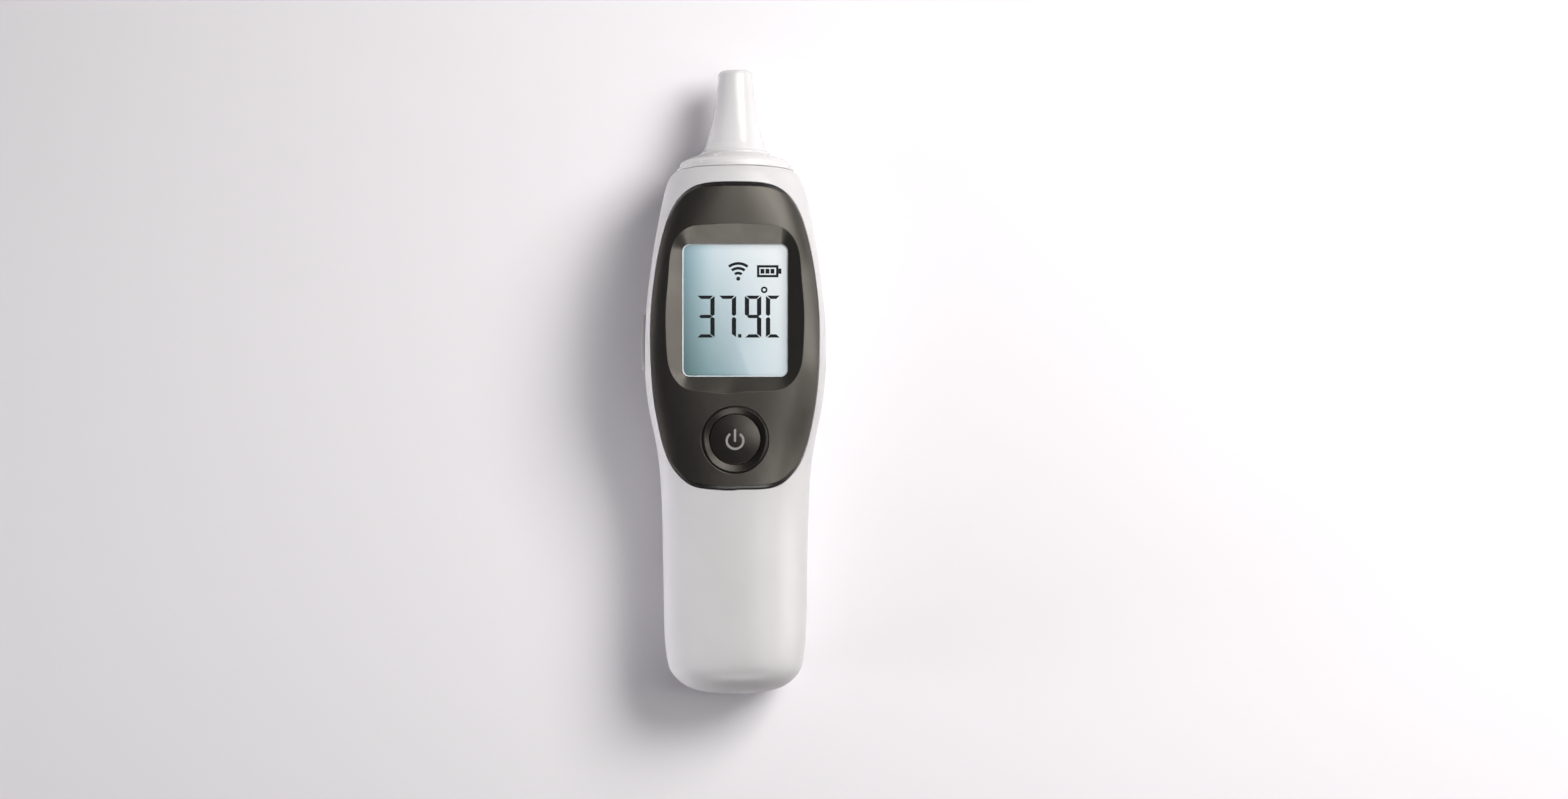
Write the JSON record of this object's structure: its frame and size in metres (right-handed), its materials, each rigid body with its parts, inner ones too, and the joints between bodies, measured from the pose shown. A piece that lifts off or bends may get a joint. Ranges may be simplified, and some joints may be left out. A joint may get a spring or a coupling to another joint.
{
  "type": "digital ear thermometer",
  "caption": "Hand-held ear thermometer: slim rounded body, dark front panel with a recessed display, round power button, tapered probe and a sliding battery cover.",
  "frame": {"origin": "on the flat resting strip of the rear housing, on the middle line, at mid length of the body", "axes": "+X to the right seen from the display, +Y from the handle end towards the probe, +Z out of the display"},
  "size_m": [0.0442, 0.1497, 0.0316],
  "materials": {
    "shell_white": "fine satin moulded",
    "door_white": "fine satin moulded",
    "panel_bronze": "metallic lacquer",
    "ring_bronze": "metallic lacquer",
    "cap_bronze": "metallic lacquer",
    "gasket_black": "matt",
    "bezel_black": "polished",
    "icon_grey": "printed",
    "lens_clear": "polished",
    "lcd_glass": "polished",
    "frame_grey": "moulded",
    "diffuser_white": "frosted",
    "zebra_pink": "matt",
    "board_green": "solder mask",
    "chip_black": "moulded",
    "shield_metal": "rolled",
    "parts_mixed": "fired",
    "switch_black": "moulded",
    "plunger_white": "moulded",
    "screw_steel": "plated",
    "probe_white": "polished",
    "collar_white": "satin",
    "window_ir": "coated",
    "tube_gold": "gold plated",
    "can_steel": "nickel plated",
    "holder_grey": "moulded",
    "seal_black": "matt",
    "cable_amber": "film",
    "tray_white": "moulded",
    "cell_jacket": "printed sleeve",
    "spring_nickel": "nickel plated"
  },
  "bodies": {
    "instrument": {"front_housing": "shell_white", "rear_housing": "shell_white", "front_panel": "panel_bronze", "panel_bezel": "bezel_black", "panel_gasket": "gasket_black", "button_ring": "ring_bronze", "power_switch_body": "switch_black", "scan_switch_body": "switch_black", "display_lens": "lens_clear", "lcd_glass": "lcd_glass", "lcd_frame": "frame_grey", "backlight_diffuser": "diffuser_white", "zebra_strip": "zebra_pink", "main_board": "board_green", "controller_chip": "chip_black", "radio_module": "shield_metal", "board_components": "parts_mixed", "buzzer": "chip_black", "case_screws": "screw_steel", "board_screws": "screw_steel", "probe_collar": "collar_white", "probe_cone": "probe_white", "probe_window": "window_ir", "waveguide_tube": "tube_gold", "sensor_holder": "holder_grey", "thermopile_sensor": "can_steel", "sensor_board": "board_green", "probe_seal_ring": "seal_black", "sensor_cable": "cable_amber", "battery_tray": "tray_white", "battery_left": "cell_jacket", "battery_right": "cell_jacket", "contact_springs": "spring_nickel", "contact_plates": "spring_nickel"},
    "power_key": {"power_button": "cap_bronze", "power_icon": "icon_grey", "power_switch_plunger": "plunger_white"},
    "scan_key": {"scan_button": "shell_white", "scan_switch_plunger": "plunger_white"},
    "battery_cover": {"battery_door": "door_white"}
  },
  "joints": [
    {"name": "power_button_press", "type": "slide", "parent": "instrument", "child": "power_key", "axis": [0, 0.1228, -0.9924], "range_m": [0, 0.0006], "stiffness_N_per_m": 1500},
    {"name": "scan_button_press", "type": "slide", "parent": "instrument", "child": "scan_key", "axis": [1, 0, 0], "range_m": [0, 0.0006], "stiffness_N_per_m": 1500},
    {"name": "battery_door_slide", "type": "slide", "parent": "instrument", "child": "battery_cover", "axis": [0, -1, 0], "range_m": [0, 0.062]}
  ]
}
